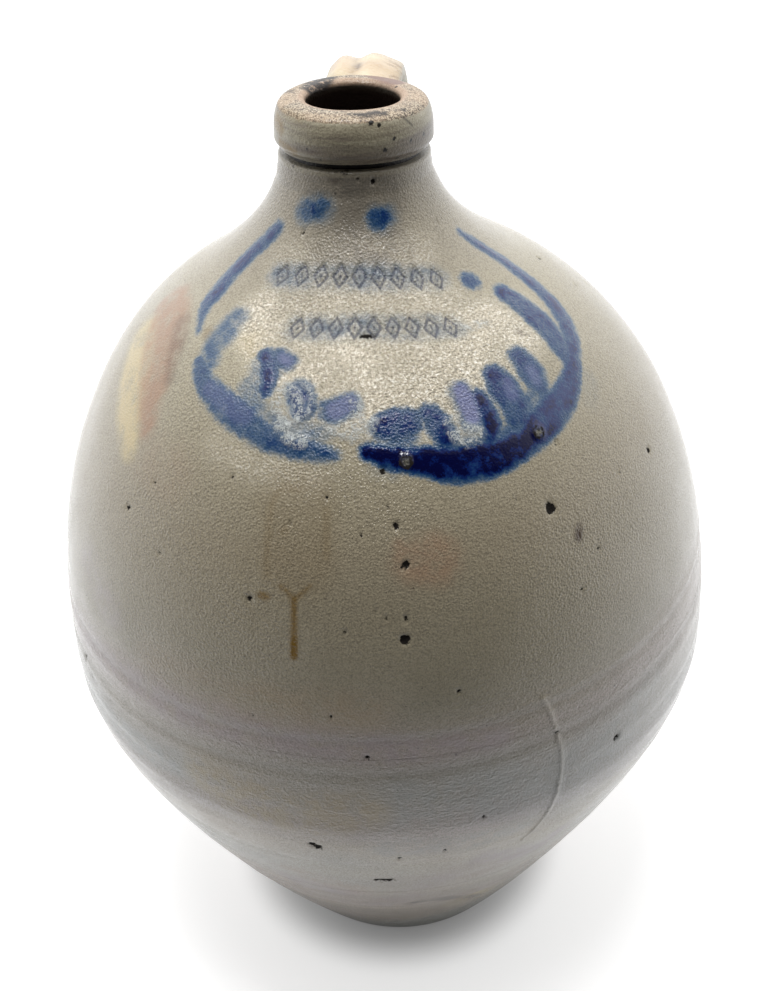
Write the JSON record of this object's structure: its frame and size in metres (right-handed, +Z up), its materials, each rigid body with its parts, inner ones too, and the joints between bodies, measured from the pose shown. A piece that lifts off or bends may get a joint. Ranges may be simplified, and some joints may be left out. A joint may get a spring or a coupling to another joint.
{
  "type": "stoneware jug",
  "caption": "Ovoid salt-glazed stoneware jug: flat foot, swelling belly, narrow neck with a collared mouth, and a ribbed strap handle from lip to shoulder.",
  "frame": {"origin": "centre of the flat foot, on the surface that the jug stands on", "axes": "+Z up along the jug's axis, -Y towards the painted front, +Y towards the handle"},
  "size_m": [0.242, 0.242, 0.342],
  "materials": {
    "salt_glazed_clay": "grey-tan salt glaze with an orange-peel skin, painted with a cobalt swag on the front shoulder",
    "lip_clay": "thin salt glaze, sandy and speckled brown on top of the rim",
    "handle_clay": "tan to cream salt glaze",
    "brown_slip": "dark brown slip, satin"
  },
  "bodies": {
    "root": {"lower_body": "salt_glazed_clay", "upper_body": "salt_glazed_clay", "lip_collar": "lip_clay", "strap_handle": "handle_clay", "handle_wad": "handle_clay", "slip_lining": "brown_slip"}
  },
  "joints": []
}
